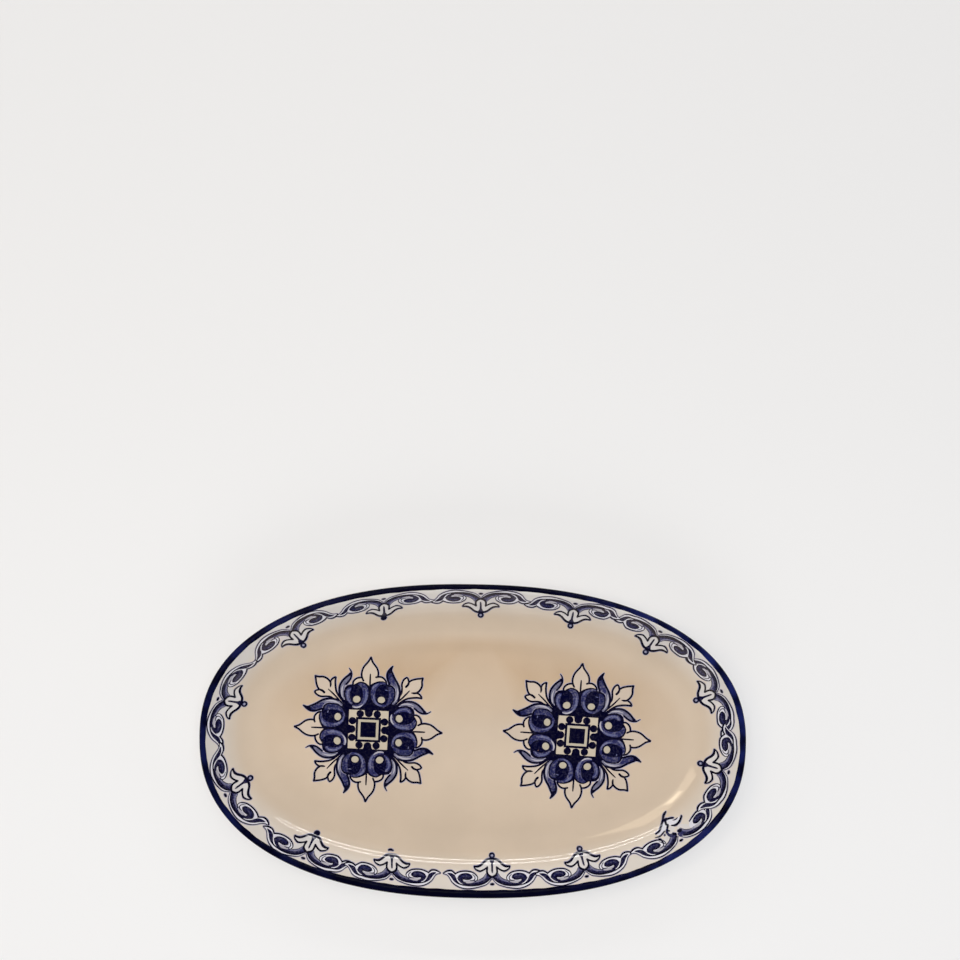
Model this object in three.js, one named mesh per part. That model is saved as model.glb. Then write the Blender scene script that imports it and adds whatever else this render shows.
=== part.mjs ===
// An oval faience serving dish: a clay body on a foot ring, a cream glaze over its face and back,
// and a cobalt band over its lip. Millimetres, +Z up, X along the length, Y across.
// The origin lies on the table, under the middle of the dish.
import * as THREE from "three";

// Driving dimensions
const LENGTH = 300; // over the glazed lip, along X
const WIDTH = 176; // over the glazed lip, along Y
const ROUNDNESS = 2.28; // exponent of the oval plan: 2 is an ellipse, more is fuller at the corners
const WELL_DEPTH = 20; // from the top of the lip to the floor of the well
const FLOOR = 5; // clay under the well
const WALL = 3.4; // clay of the sloping wall, and the diameter of its rounded lip
const WALL_SLOPE = THREE.MathUtils.degToRad(45); // wall to table
const COVE_RADIUS = 16; // clay between the floor of the well and the wall
const HEEL_RADIUS = 22; // clay between the underside and the back of the wall
const FOOT_HEIGHT = 3.4; // from the table to the clay of the underside
const FOOT_WIDTH = 6; // across the foot ring
const FOOT_SETBACK = 3; // flat underside between the heel and the foot ring
const FOOT_FILLET = 1.2; // hollow at the root of the foot ring
const FOOT_EDGE = 0.8; // rounding of the edges that the dish stands on
const BARE_FOOT = 1.3; // height to which the foot ring is wiped clean of glaze
const GLAZE = 0.4; // thickness of every glaze
const BAND_DROP = 2.5; // how far the cobalt band runs down the back of the wall

// Facets of each round stretch
const STATIONS = 64; // round the plan
const LIP_STEPS = 6;
const COVE_STEPS = 5;
const HEEL_STEPS = 4;
const FOOT_STEPS = 2; // each fillet and each edge of the foot ring

// Plan: a superellipse through the lip's edge. Each station holds a point of that edge and the outward
// normal there, and everything further in lies parallel to the edge.
const halfLength = LENGTH / 2;
const halfWidth = WIDTH / 2;
const bow = 2 / ROUNDNESS;
const signedPower = (value, power) => Math.sign(value) * Math.abs(value) ** power;
const stations = Array.from({ length: STATIONS }, (_, i) => {
  const angle = (2 * Math.PI * i) / STATIONS;
  const along = Math.cos(angle);
  const across = Math.sin(angle);
  const edge = new THREE.Vector2(signedPower(along, bow) * halfLength, signedPower(across, bow) * halfWidth);
  const outward = new THREE.Vector2(
    signedPower(along, 2 - bow) / halfLength,
    signedPower(across, 2 - bow) / halfWidth,
  ).normalize();
  return { edge, outward };
});

// Section of the clay, across the middle of the dish: x is the distance from its axis, y the height over
// the table. Each point keeps its outward normal, along which the glaze lies on it.
const sectionPoint = (x, y, normal) => ({ point: new THREE.Vector2(x, y), normal });
const DOWN = new THREE.Vector2(0, -1);
const UP = new THREE.Vector2(0, 1);
const INWARD = new THREE.Vector2(-1, 0);
const OUTWARD = new THREE.Vector2(1, 0);

// An arc of the section. The normals of a hollow arc point to its centre.
function sectionArc(centre, radius, from, to, steps, hollow = false) {
  return Array.from({ length: steps + 1 }, (_, i) => {
    const angle = from + ((to - from) * i) / steps;
    const radial = new THREE.Vector2(Math.cos(angle), Math.sin(angle));
    const point = radial.clone().multiplyScalar(radius).add(centre);
    return { point, normal: hollow ? radial.negate() : radial };
  });
}

const underside = FOOT_HEIGHT;
const wellFloor = underside + FLOOR;
const height = wellFloor + GLAZE + WELL_DEPTH;
const lipRadius = WALL / 2;
const lipCentre = new THREE.Vector2(halfWidth - GLAZE - lipRadius, height - GLAZE - lipRadius);
const backNormal = new THREE.Vector2(Math.sin(WALL_SLOPE), -Math.cos(WALL_SLOPE));
const upWall = new THREE.Vector2(Math.cos(WALL_SLOPE), Math.sin(WALL_SLOPE));

// Where a curve of the given radius, at rest on a level, runs into the wall's line on one side of it.
function curveCentre(level, radius, side) {
  const edge = lipCentre.clone().addScaledVector(backNormal, side * lipRadius);
  const rise = edge.y - level - radius * (1 - Math.cos(WALL_SLOPE));
  const x = edge.x - rise / Math.tan(WALL_SLOPE) - radius * Math.sin(WALL_SLOPE);
  return new THREE.Vector2(x, level + radius);
}

const coveCentre = curveCentre(wellFloor, COVE_RADIUS, -1);
const heelCentre = curveCentre(underside, HEEL_RADIUS, 1);
const footOuter = heelCentre.x - FOOT_SETBACK - FOOT_FILLET;
const footInner = footOuter - FOOT_WIDTH;
const QUARTER = Math.PI / 2;
const filletLevel = underside - FOOT_FILLET;
const bandPoint = lipCentre
  .clone()
  .addScaledVector(backNormal, lipRadius)
  .addScaledVector(upWall, -BAND_DROP);

const recessRoot = new THREE.Vector2(footInner - FOOT_FILLET, filletLevel);
const recess = [
  sectionPoint(0, underside, DOWN),
  ...sectionArc(recessRoot, FOOT_FILLET, QUARTER, 0, FOOT_STEPS, true),
  sectionPoint(footInner, BARE_FOOT, INWARD),
];
const innerEdge = new THREE.Vector2(footInner + FOOT_EDGE, FOOT_EDGE);
const outerEdge = new THREE.Vector2(footOuter - FOOT_EDGE, FOOT_EDGE);
const foot = [
  ...sectionArc(innerEdge, FOOT_EDGE, -2 * QUARTER, -QUARTER, FOOT_STEPS),
  ...sectionArc(outerEdge, FOOT_EDGE, -QUARTER, 0, FOOT_STEPS),
];
const backRoot = new THREE.Vector2(footOuter + FOOT_FILLET, filletLevel);
const back = [
  sectionPoint(footOuter, BARE_FOOT, OUTWARD),
  ...sectionArc(backRoot, FOOT_FILLET, 2 * QUARTER, QUARTER, FOOT_STEPS, true),
  ...sectionArc(heelCentre, HEEL_RADIUS, -QUARTER, WALL_SLOPE - QUARTER, HEEL_STEPS),
  sectionPoint(bandPoint.x, bandPoint.y, backNormal),
];
const lip = [
  back.at(-1),
  ...sectionArc(lipCentre, lipRadius, WALL_SLOPE - QUARTER, WALL_SLOPE + QUARTER, LIP_STEPS),
];
const face = [
  lip.at(-1),
  ...sectionArc(coveCentre, COVE_RADIUS, WALL_SLOPE - QUARTER, -QUARTER, COVE_STEPS, true),
  sectionPoint(0, wellFloor, UP),
];

// A closed section carried round the oval. Points on the axis stay in the middle. Every facet is split the
// same way whichever way the section runs, so that pieces which meet share their facets.
function ovalLoft(section) {
  const onAxis = ({ x }) => x === 0;
  const before = (a, b) => a.x < b.x || (a.x === b.x && a.y < b.y);
  const vertex = ({ edge, outward }, point) => {
    if (onAxis(point)) return [0, 0, point.y];
    const plan = edge.clone().addScaledVector(outward, point.x - halfWidth);
    return [plan.x, plan.y, point.y];
  };
  const positions = [];
  stations.forEach((station, i) => {
    const next = stations[(i + 1) % stations.length];
    section.forEach((point, j) => {
      const follower = section[(j + 1) % section.length];
      const [a, b] = [vertex(station, point), vertex(next, point)];
      const [c, d] = [vertex(next, follower), vertex(station, follower)];
      const split = before(point, follower);
      if (!onAxis(point)) positions.push(...a, ...b, ...(split ? c : d));
      if (!onAxis(follower)) positions.push(...c, ...d, ...(split ? a : b));
    });
  });
  const loft = new THREE.BufferGeometry();
  loft.setAttribute("position", new THREE.Float32BufferAttribute(positions, 3));
  loft.computeVertexNormals();
  return loft;
}

// The clay: the whole section, from the axis under the recess round to the axis on the well's floor.
function clayGeometry() {
  const outline = [...recess, ...foot, ...back, ...lip.slice(1), ...face.slice(1)];
  return ovalLoft(outline.map(({ point }) => point));
}

// A glaze over one stretch of the section: out along its surface and back along the clay.
function glazeGeometry(stretch) {
  const onClay = stretch.map(({ point }) => point);
  const surface = stretch.map(({ point, normal }) => point.clone().addScaledVector(normal, GLAZE));
  return ovalLoft([...surface, ...onClay.reverse()]);
}

// Looks
const clay = { color: "#b98a66", roughness: 0.9, metalness: 0 };
const creamGlaze = { color: "#dccdb9", roughness: 0.18, metalness: 0 };
const cobaltGlaze = { color: "#14163a", roughness: 0.15, metalness: 0 };

function piece(name, geometry, look) {
  const mesh = new THREE.Mesh(geometry, new THREE.MeshStandardMaterial(look));
  mesh.name = name;
  return mesh;
}

const dish = new THREE.Group();
dish.add(
  piece("clay_body", clayGeometry(), clay),
  piece("recess_glaze", glazeGeometry(recess), creamGlaze),
  piece("back_glaze", glazeGeometry(back), creamGlaze),
  piece("lip_band", glazeGeometry(lip), cobaltGlaze),
  piece("face_glaze", glazeGeometry(face), creamGlaze),
);

export default dish;
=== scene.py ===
import math

import bpy
import numpy as np
from mathutils import Matrix, Vector, geometry, kdtree


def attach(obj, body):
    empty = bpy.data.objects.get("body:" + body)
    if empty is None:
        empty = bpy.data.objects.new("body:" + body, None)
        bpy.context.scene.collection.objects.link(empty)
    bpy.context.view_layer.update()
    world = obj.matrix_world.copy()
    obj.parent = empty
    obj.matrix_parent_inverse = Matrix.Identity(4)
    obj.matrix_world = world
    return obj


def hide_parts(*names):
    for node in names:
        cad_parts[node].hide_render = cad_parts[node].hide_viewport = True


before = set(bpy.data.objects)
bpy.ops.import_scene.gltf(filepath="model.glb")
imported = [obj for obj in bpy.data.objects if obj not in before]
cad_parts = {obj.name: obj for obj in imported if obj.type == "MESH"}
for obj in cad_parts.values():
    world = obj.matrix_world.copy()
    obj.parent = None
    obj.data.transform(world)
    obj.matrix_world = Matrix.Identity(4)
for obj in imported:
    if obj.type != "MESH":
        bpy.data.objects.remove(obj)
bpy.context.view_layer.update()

MM = 0.001

# Sizes of the dish in millimetres. An inset is the distance from the lip's edge, seen from above.
LENGTH = 300
WIDTH = 176
ROUNDNESS = 2.28
HEIGHT = 28.8
WELL_FLOOR = 8.8
WALL_SLOPE = math.radians(45)
LIP_RADIUS = 2.1
COVE_RADIUS = 28
HEEL_RADIUS = 22.4
UNDERSIDE = 3.0
GLAZE = 0.4
FOOT_WIDTH = 6
FOOT_SETBACK = 3
FOOT_FILLET = 1.2
FOOT_EDGE = 0.8
BARE_FOOT = 1.3
BAND_DROP = 2.5


# Plan of the dish
def signed_power(value, power):
    return np.sign(value) * np.abs(value) ** power


def plan_edge(angle):
    """Points of the lip's edge and their outward normals."""
    bow = 2 / ROUNDNESS
    along, across = np.cos(angle), np.sin(angle)
    half = np.array([LENGTH / 2, WIDTH / 2])
    edge = np.stack([signed_power(along, bow), signed_power(across, bow)], -1) * half
    normal = np.stack([signed_power(along, 2 - bow), signed_power(across, 2 - bow)], -1) / half
    return edge, normal / np.linalg.norm(normal, axis=-1, keepdims=True)


EDGE_SAMPLES = 7200
edge_points, edge_normals = plan_edge(np.linspace(0, 2 * math.pi, EDGE_SAMPLES + 1))
edge_steps = np.linalg.norm(np.diff(edge_points, axis=0), axis=1)
edge_way = np.concatenate([[0], np.cumsum(edge_steps)])
edge_turn = np.unwrap(np.arctan2(edge_normals[:, 1], edge_normals[:, 0]))
GIRTH = edge_way[-1]


def round_lip(way):
    """Points of the lip's edge, a way round it from the right-hand end, and the outward normals there."""
    way = np.mod(way, GIRTH)
    point = np.stack([np.interp(way, edge_way, edge_points[:, i]) for i in (0, 1)], -1)
    normal = np.stack([np.interp(way, edge_way, edge_normals[:, i]) for i in (0, 1)], -1)
    return point, normal / np.linalg.norm(normal, axis=-1, keepdims=True)


def turn_at(way):
    """Angle of the outward normal, which keeps growing from one round to the next."""
    rounds = np.floor(way / GIRTH)
    return np.interp(way - rounds * GIRTH, edge_way, edge_turn) + rounds * 2 * math.pi


# Section of the dish
lip_level = HEIGHT - LIP_RADIUS
wall_sine, wall_cosine = math.sin(WALL_SLOPE), math.cos(WALL_SLOPE)
lip_inner = LIP_RADIUS * (1 + wall_sine)
lip_inner_level = lip_level + LIP_RADIUS * wall_cosine
cove_top = WELL_FLOOR + COVE_RADIUS * (1 - wall_cosine)
cove_outer = lip_inner + (lip_inner_level - cove_top) / math.tan(WALL_SLOPE)
floor_inset = cove_outer + COVE_RADIUS * wall_sine
heel_start = LIP_RADIUS * (1 - wall_sine)
heel_rise = lip_level - LIP_RADIUS * wall_cosine - UNDERSIDE - HEEL_RADIUS * (1 - wall_cosine)
heel_inset = heel_start + heel_rise / math.tan(WALL_SLOPE) + HEEL_RADIUS * wall_sine
foot_outer = heel_inset + FOOT_SETBACK + FOOT_FILLET
foot_inner = foot_outer + FOOT_WIDTH


def face_height(inset):
    """Height of the glazed face, and how steeply it rises outwards."""
    inset = np.asarray(inset, float)
    out = floor_inset - inset
    cove_out = np.clip(out, 0, COVE_RADIUS * wall_sine)
    cove_drop = np.sqrt(COVE_RADIUS**2 - cove_out**2)
    wall = cove_top + (cove_outer - inset) * math.tan(WALL_SLOPE)
    lip_across = np.clip(inset, 0.02, 2 * LIP_RADIUS - 0.02) - LIP_RADIUS
    lip_drop = np.sqrt(LIP_RADIUS**2 - lip_across**2)
    on_lip, on_wall = inset < lip_inner, inset < cove_outer
    height = np.where(on_wall, wall, WELL_FLOOR + COVE_RADIUS - cove_drop)
    height = np.where(on_lip, lip_level + lip_drop, height)
    slope = np.where(on_wall, math.tan(WALL_SLOPE), cove_out / cove_drop)
    return height, np.where(on_lip, lip_across / lip_drop, slope)


# Painted ornament: shapes in millimetres, each with the name of its paint, in the order of painting.
# A paint is red, green and blue on a scale of 255, and how strongly the brush shows in it.
PAINTS = {
    "cream": (202, 187, 170, 0.0),
    # Cream paler up the wall, a painted sheen
    "sheen cream": (216, 208, 199, 0.0),
    "rim cream": (212, 211, 211, 0.0),
    "leaf": (197, 184, 171, 0.0),
    "halo": (165, 163, 186, 0.0),
    "pale": (216, 217, 229, 0.1),
    "petal": (213, 211, 213, 0.1),
    "veil": (211, 209, 211, 0.0),
    "ivory": (192, 182, 166, 0.1),
    "dull ivory": (181, 174, 158, 0.1),
    "grey": (172, 171, 184, 0.3),
    "light": (88, 93, 132, 0.6),
    "lilac": (97, 98, 124, 0.6),
    "wash": (102, 104, 140, 0.6),
    "mid": (42, 45, 90, 0.6),
    "blue": (29, 33, 76, 0.4),
    "navy": (13, 13, 52, 0.2),
    "cobalt": (3, 4, 40, 0.08),
    "ink": (3, 3, 32, 0.05),
    "grey ink": (40, 37, 58, 0.2),
}
POINT_SPACING = 0.75
DISC_POINTS = 20
# A stroke tapers over a third of its length at each end, and its end bulges by a share of its width
TAPER_RATE = 3
END_BULGE = 0.35


def turned(degrees):
    angle = math.radians(degrees)
    return np.array([[math.cos(angle), -math.sin(angle)], [math.sin(angle), math.cos(angle)]])


def curve(points, closed=False):
    """A smooth curve through a few points, as many close ones."""
    knots = np.asarray(points, float)
    if closed:
        knots = np.concatenate([knots[-1:], knots, knots[:2]])
    else:
        first, last = 2 * knots[0] - knots[1], 2 * knots[-1] - knots[-2]
        knots = np.concatenate([[first], knots, [last]])
    pieces = []
    for a, b, c, d in zip(knots, knots[1:], knots[2:], knots[3:]):
        count = max(2, math.ceil(np.linalg.norm(c[:2] - b[:2]) / POINT_SPACING))
        t = np.arange(count)[:, None] / count
        bend = (2 * a - 5 * b + 4 * c - d) * t**2 + (3 * b - a - 3 * c + d) * t**3
        pieces.append(b + (bend + (c - a) * t) / 2)
    if not closed:
        pieces.append(knots[-2:-1])
    return np.concatenate(pieces)


def blob(paint, points):
    """A filled shape with a smooth outline."""
    return paint, curve(points, closed=True)


def flat(paint, points):
    """A filled shape with straight sides."""
    return paint, np.asarray(points, float)


def disc(paint, centre, radii, turn=0.0):
    """A filled oval."""
    angle = np.linspace(0, 2 * math.pi, DISC_POINTS, endpoint=False)
    oval = np.stack([radii[0] * np.cos(angle), radii[1] * np.sin(angle)], -1)
    return paint, oval @ turned(turn).T + centre


def stroke(paint, points, width, ends=(1, 1)):
    """A brush stroke along a few points. The ends say how much of the width is left there."""
    start, end = ends
    line = curve(points)
    way = np.concatenate([[0], np.cumsum(np.linalg.norm(np.diff(line, axis=0), axis=1))])
    share = way / way[-1]
    taper = np.minimum(1, start + (1 - start) * share * TAPER_RATE)
    taper = np.minimum(taper, end + (1 - end) * (1 - share) * TAPER_RATE)
    along = np.gradient(line, axis=0)
    along /= np.linalg.norm(along, axis=1, keepdims=True)
    side = np.stack([-along[:, 1], along[:, 0]], -1) * (width * taper / 2)[:, None]
    tip = line[-1] + along[-1] * width * end * END_BULGE
    tail = line[0] - along[0] * width * start * END_BULGE
    return paint, np.concatenate([line + side, [tip], (line - side)[::-1], [tail]])


# One quarter of the rosette, which is turned round the middle four times
ROSETTE_QUARTER = [
    # Ground of the leaves, a little greyer than the cream
    flat("leaf", [
        (0, 41.2), (0.9, 38.6), (2.2, 36.8), (3.5, 35.1), (4.3, 33), (4.5, 30.2), (6.2, 30.1),
        (7.6, 29.3), (9.1, 26.6), (5, 25), (0, 25),
    ]),
    flat("leaf", [
        (41.1, 0), (38.6, 1.3), (36.5, 3), (34.5, 4.2), (32, 4.8), (29.4, 5.3), (29, 7), (28, 8.5),
        (24.9, 9.3), (24.5, 0),
    ]),
    flat("leaf", [
        (16.7, 19.9), (17.7, 21.6), (17.9, 24), (17.7, 26.5), (19.1, 29.7), (20.3, 30.5), (21.6, 27.9),
        (23, 29), (29.3, 30.5), (28.9, 26.2), (28.3, 24.4), (26.1, 22), (28.6, 20.2), (29, 19.1),
        (23.2, 19), (18.8, 17.3), (15.4, 14.5),
    ]),
    flat("ink", [
        (0, 0), (0, 25.3), (1.5, 26.4), (3.4, 27.3), (5.3, 27.8), (7.2, 27.8), (8.8, 27.3), (9.4, 26.3),
        (10.9, 26), (12.7, 25.4), (14, 24), (14.5, 22), (14.4, 19.5), (14.1, 17.5), (14.3, 15.8),
        (15.4, 14.3), (16.6, 13.7), (18.6, 14.3), (21, 14.5), (23.3, 13.9), (24.9, 12.4), (25.4, 10.2),
        (25.4, 8.6), (26.3, 7.3), (27.1, 5.7), (27, 3.8), (26.2, 2), (24.9, 0.5), (24.6, 0),
    ]),
    # Petal beside the upright leaf
    blob("mid", [
        (8.6, 26.9), (6.5, 27.1), (4.5, 26.7), (2.5, 25.7), (1.1, 24.2), (0.7, 22), (0.8, 19.5),
        (1.4, 17.2), (2.6, 15.3), (4.4, 14), (6.5, 13.2), (8.8, 13.3), (9.9, 14.3), (8.6, 14.6),
        (6.4, 14.4), (4.8, 15.1), (3.7, 16.6), (3.2, 18.5), (3.1, 20.5), (3.5, 22.6), (4.5, 24.4),
        (5.8, 25.6), (7.5, 26), (8.8, 26.1),
    ]),
    stroke("light", [(1.5, 22.9), (2, 24.1), (3.2, 25.3), (4.8, 26.2)], 1.2, (0.3, 0.3)),
    stroke("light", [(2.3, 20), (2.5, 18), (3.4, 15.9), (5, 14.4), (7.2, 13.8)], 1, (0.3, 0.3)),
    stroke("blue", [(1.3, 21.8), (1.3, 19.6), (1.9, 17.6)], 0.7, (0.3, 0.3)),
    blob("blue", [
        (9, 24), (10.5, 24.7), (12.2, 24.5), (13.4, 23.1), (13.7, 21), (13.5, 18.8), (12.9, 17),
        (11.7, 15.3), (10.2, 14.2), (9.2, 14.6), (9.9, 16.5), (10.5, 18.5), (10.7, 20.5), (10.4, 22.3),
    ]),
    stroke("mid", [
        (9.4, 23.3), (10.7, 22.6), (11.3, 20.8), (11.4, 18.6), (10.9, 16.6), (9.7, 14.6),
    ], 1.2, (0.4, 0.5)),
    blob("cobalt", [
        (3.2, 18.3), (3.1, 20.5), (3.6, 22.7), (4.8, 24.6), (6.5, 25.7), (8.6, 25.8), (9.9, 25),
        (10.4, 23.2), (10.5, 20.5), (10.2, 18.3), (9.5, 16.4), (8.3, 15), (6.7, 14.5), (5, 15),
        (3.9, 16.3),
    ]),
    stroke("light", [(8.7, 22.9), (10, 22.6)], 0.6, (0.6, 0.4)),
    disc("dull ivory", (6.65, 17.2), (2.05, 1.8)),
    # Petal beside the level leaf
    blob("mid", [
        (12.2, 9), (11.9, 7.2), (12.4, 5.2), (13.7, 3.2), (15.6, 1.7), (18.2, 0.9), (21, 0.7),
        (23.4, 1.1), (25.2, 2.3), (26.1, 4), (26.3, 5.7), (25.4, 6.7), (24, 5), (22.3, 4.1), (19.5, 3.7),
        (17, 3.9), (15.2, 4.7), (14, 6.2), (13.6, 7.8), (13.6, 9.3),
    ]),
    stroke("grey", [(12.7, 9.1), (12.4, 7.2), (12.9, 5.2), (14.3, 3.3)], 0.9, (0.5, 0.3)),
    stroke("light", [(14.3, 3.6), (16.5, 2.3), (19.5, 1.8), (22.6, 2.1)], 1.2, (0.5, 0.2)),
    stroke("blue", [(22, 3.2), (24, 3.4), (25.5, 5.4)], 0.9, (0.3, 0.5)),
    blob("mid", [
        (13.9, 9.8), (14.9, 11.3), (16.6, 12.6), (18.8, 13.3), (21, 13.3), (22.7, 12.5), (23.6, 11),
        (23.4, 9.4), (22.4, 9.9), (21.3, 10.8), (19.5, 11), (17.5, 10.7), (15.8, 10), (14.8, 9.2),
    ]),
    stroke("light", [(14.9, 10.4), (17, 11.8), (19.5, 12.4), (21.5, 12), (22.7, 10.6)], 0.9, (0.4, 0.5)),
    blob("cobalt", [
        (13.7, 7.6), (14.2, 9), (15.8, 10.1), (18, 10.7), (20.5, 10.8), (22.6, 10.3), (24.5, 10.2),
        (25, 8.2), (24.5, 6.4), (23, 5), (20.6, 4.1), (18, 4), (15.9, 4.7), (14.4, 5.9),
    ]),
    disc("dull ivory", (17, 7.05), (1.9, 2.1), 25),
    # Leaf that waves upwards
    blob("lilac", [
        (12.4, 36.8), (11, 35.2), (9.8, 33.4), (9.4, 31.6), (9.6, 29.6), (10.2, 27.8), (10.9, 26.3),
        (12.7, 25.6), (14.2, 24), (14.7, 21.5), (14.5, 19), (13.8, 17), (12.7, 15.5), (13.3, 14.8),
        (14.7, 15.8), (15.8, 17.8), (16.4, 20), (16.5, 22.5), (16, 25), (15, 27), (13.8, 28.8),
        (12.8, 30.8), (12, 32.8), (11.6, 34.2),
    ]),
    stroke("grey", [
        (15.1, 24.6), (15.6, 22.2), (15.4, 19.8), (14.7, 17.6), (13.7, 15.9),
    ], 0.9, (0.2, 0.2)),
    blob("mid", [
        (9.5, 31.8), (9.6, 29.6), (10.2, 27.8), (10.9, 26.3), (12.7, 25.6), (13.9, 24.8), (14.3, 26.6),
        (13.4, 28.8), (12.6, 30.8), (11.8, 32.6), (10.4, 32.8),
    ]),
    blob("blue", [
        (12.4, 36.8), (11, 35.2), (9.8, 33.4), (9.4, 31.6), (9.6, 29.6), (10.4, 29.2), (11.6, 30),
        (12.6, 31), (12, 32.8), (11.6, 34.2),
    ]),
    blob("ink", [
        (12.4, 36.8), (11, 35.2), (9.8, 33.4), (9.6, 32), (10.9, 32.4), (12, 32.6), (11.6, 34.2),
    ]),
    stroke("ink", [
        (16, 16.8), (16.7, 20), (16.7, 22.6), (16.2, 25), (15.2, 27), (14, 28.9), (13, 30.8),
        (12.2, 32.7), (11.6, 34.3), (12.4, 36.7),
    ], 1.18, (1, 0.6)),
    stroke("ink", [
        (12.4, 36.7), (11, 35.2), (9.8, 33.4), (9.3, 31.6), (9.5, 29.6), (10.1, 27.8), (10.8, 26),
    ], 1.18, (0.6, 1)),
    # Leaf that waves sideways
    blob("lilac", [
        (16.2, 14.3), (17.3, 15.3), (19, 16.2), (21.5, 16.7), (24.2, 16.5), (26.6, 15.5), (28.6, 13.9),
        (30.2, 12.2), (31.6, 11.2), (32.6, 10.7), (30.6, 10.2), (28.8, 10.6), (27, 11.7), (25.3, 13.1),
        (23.3, 14.1), (20.5, 14.5), (18.2, 14.1),
    ]),
    stroke("grey", [(17.4, 14.8), (19.6, 15.4), (22.4, 15.4), (25, 14.7)], 0.8, (0.5, 0.2)),
    blob("ink", [(29.6, 12.4), (31.2, 11.3), (33, 11.1), (32.4, 10.6), (30.4, 10.4), (30, 11.4)]),
    stroke("ink", [
        (15.6, 14), (17.3, 15.5), (19, 16.4), (21.5, 16.9), (24.3, 16.7), (26.7, 15.6), (28.7, 14),
        (30.3, 12.2), (31.5, 11.1),
    ], 1.18),
    stroke("ink", [
        (25, 13.3), (26.8, 11.9), (28.6, 10.8), (30.6, 10.4), (32.6, 10.7), (34.4, 11.8),
    ], 1.06, (1, 0.5)),
    # Leaf on the diagonal
    stroke("ink", [
        (16.7, 19.9), (17.7, 21.6), (17.9, 24), (17.7, 26.5), (18.2, 28.3), (19.1, 29.7), (20.3, 30.5),
    ], 1.06),
    stroke("ink", [(20.2, 30.6), (21, 29.8), (21.3, 28.7), (21.6, 27.9)], 1.01),
    stroke("ink", [(21.7, 28.3), (21.1, 26.4), (19.9, 25)], 1.29, (0.7, 1)),
    stroke("ink", [(21.4, 27.8), (23, 29), (25.4, 29.8), (27.8, 30.2), (29.4, 30.5)], 1.06),
    stroke("ink", [(29.2, 30.6), (28.8, 28.5), (28.9, 26.2), (28.3, 24.4), (27.3, 23), (26.1, 22)], 1.12),
    stroke("ink", [(26.7, 22.1), (25, 21.8), (23.2, 21.9)], 1.12, (1, 0.5)),
    stroke("ink", [(26.2, 22.1), (27.7, 21.2), (28.6, 20.2), (29, 19.1)], 1.06),
    stroke("ink", [
        (29.1, 19.1), (26.2, 19.3), (23.2, 19), (20.8, 18.4), (18.8, 17.3), (17.2, 16), (15.4, 14.5),
    ], 1.12),
    stroke("ink", [(22.1, 23.1), (20.2, 20.9), (18.2, 18.7), (16.5, 17.1), (14.6, 15.2)], 0.95, (0.6, 1)),
    # Leaf on the axis, with its vein and the curls at its foot
    stroke("ink", [
        (0, 41.2), (0.9, 38.6), (2.2, 36.8), (3.5, 35.1), (4.3, 33), (4.4, 31.2), (4.1, 30),
    ], 1.06),
    stroke("ink", [(3, 29.8), (4.5, 30.2), (6.2, 30.1), (7.6, 29.3), (8.7, 28), (9.1, 26.6)], 1.06),
    stroke("ink", [
        (41.1, 0), (38.6, 1.3), (36.5, 3), (34.5, 4.2), (32, 4.8), (30, 4.7), (28.6, 4.2), (27.5, 3.6),
    ], 1.06),
    stroke("ink", [(29.4, 4.6), (29.4, 5.3), (29, 7), (28, 8.5), (26.5, 9.4), (24.9, 9.3)], 1.06),
    stroke("ink", [(0, 24.5), (0, 31.6)], 0.95, (1, 0.7)),
]
SQUARE = 11.0
FRAME_OUTER = 7.0
FRAME_MIDDLE = 5.7
FRAME_INNER = 4.3
ROSETTE_SQUARE = [
    flat("ivory", [(0, 0), (SQUARE, 0), (SQUARE, SQUARE), (0, SQUARE)]),
    flat("ink", [(-2.7, SQUARE + 0.3), (-1.9, 9), (1.9, 9), (2.7, SQUARE + 0.3)]),
    disc("ink", (0, 9.2), (2.2, 2.1)),
    disc("ink", (4.75, 8.9), (2.1, 2.1)),
    disc("ink", (8.9, 4.75), (2.1, 2.1)),
    flat("ink", [(0, 0), (FRAME_OUTER, 0), (FRAME_OUTER, FRAME_OUTER), (0, FRAME_OUTER)]),
    flat("dull ivory", [(0, 0), (FRAME_MIDDLE, 0), (FRAME_MIDDLE, FRAME_MIDDLE), (0, FRAME_MIDDLE)]),
    flat("ink", [(0, 0), (FRAME_INNER, 0), (FRAME_INNER, FRAME_INNER), (0, FRAME_INNER)]),
]
# Middle of each rosette, and how far it is turned, in degrees
ROSETTES = [((-58.3, 1.9), -1.6), ((58.0, 0.4), -3.0)]


def rosette(middle, turn):
    for paint, shape in ROSETTE_QUARTER + ROSETTE_SQUARE:
        for quarter in range(4):
            yield paint, shape @ turned(turn + 90 * quarter).T + middle


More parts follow.
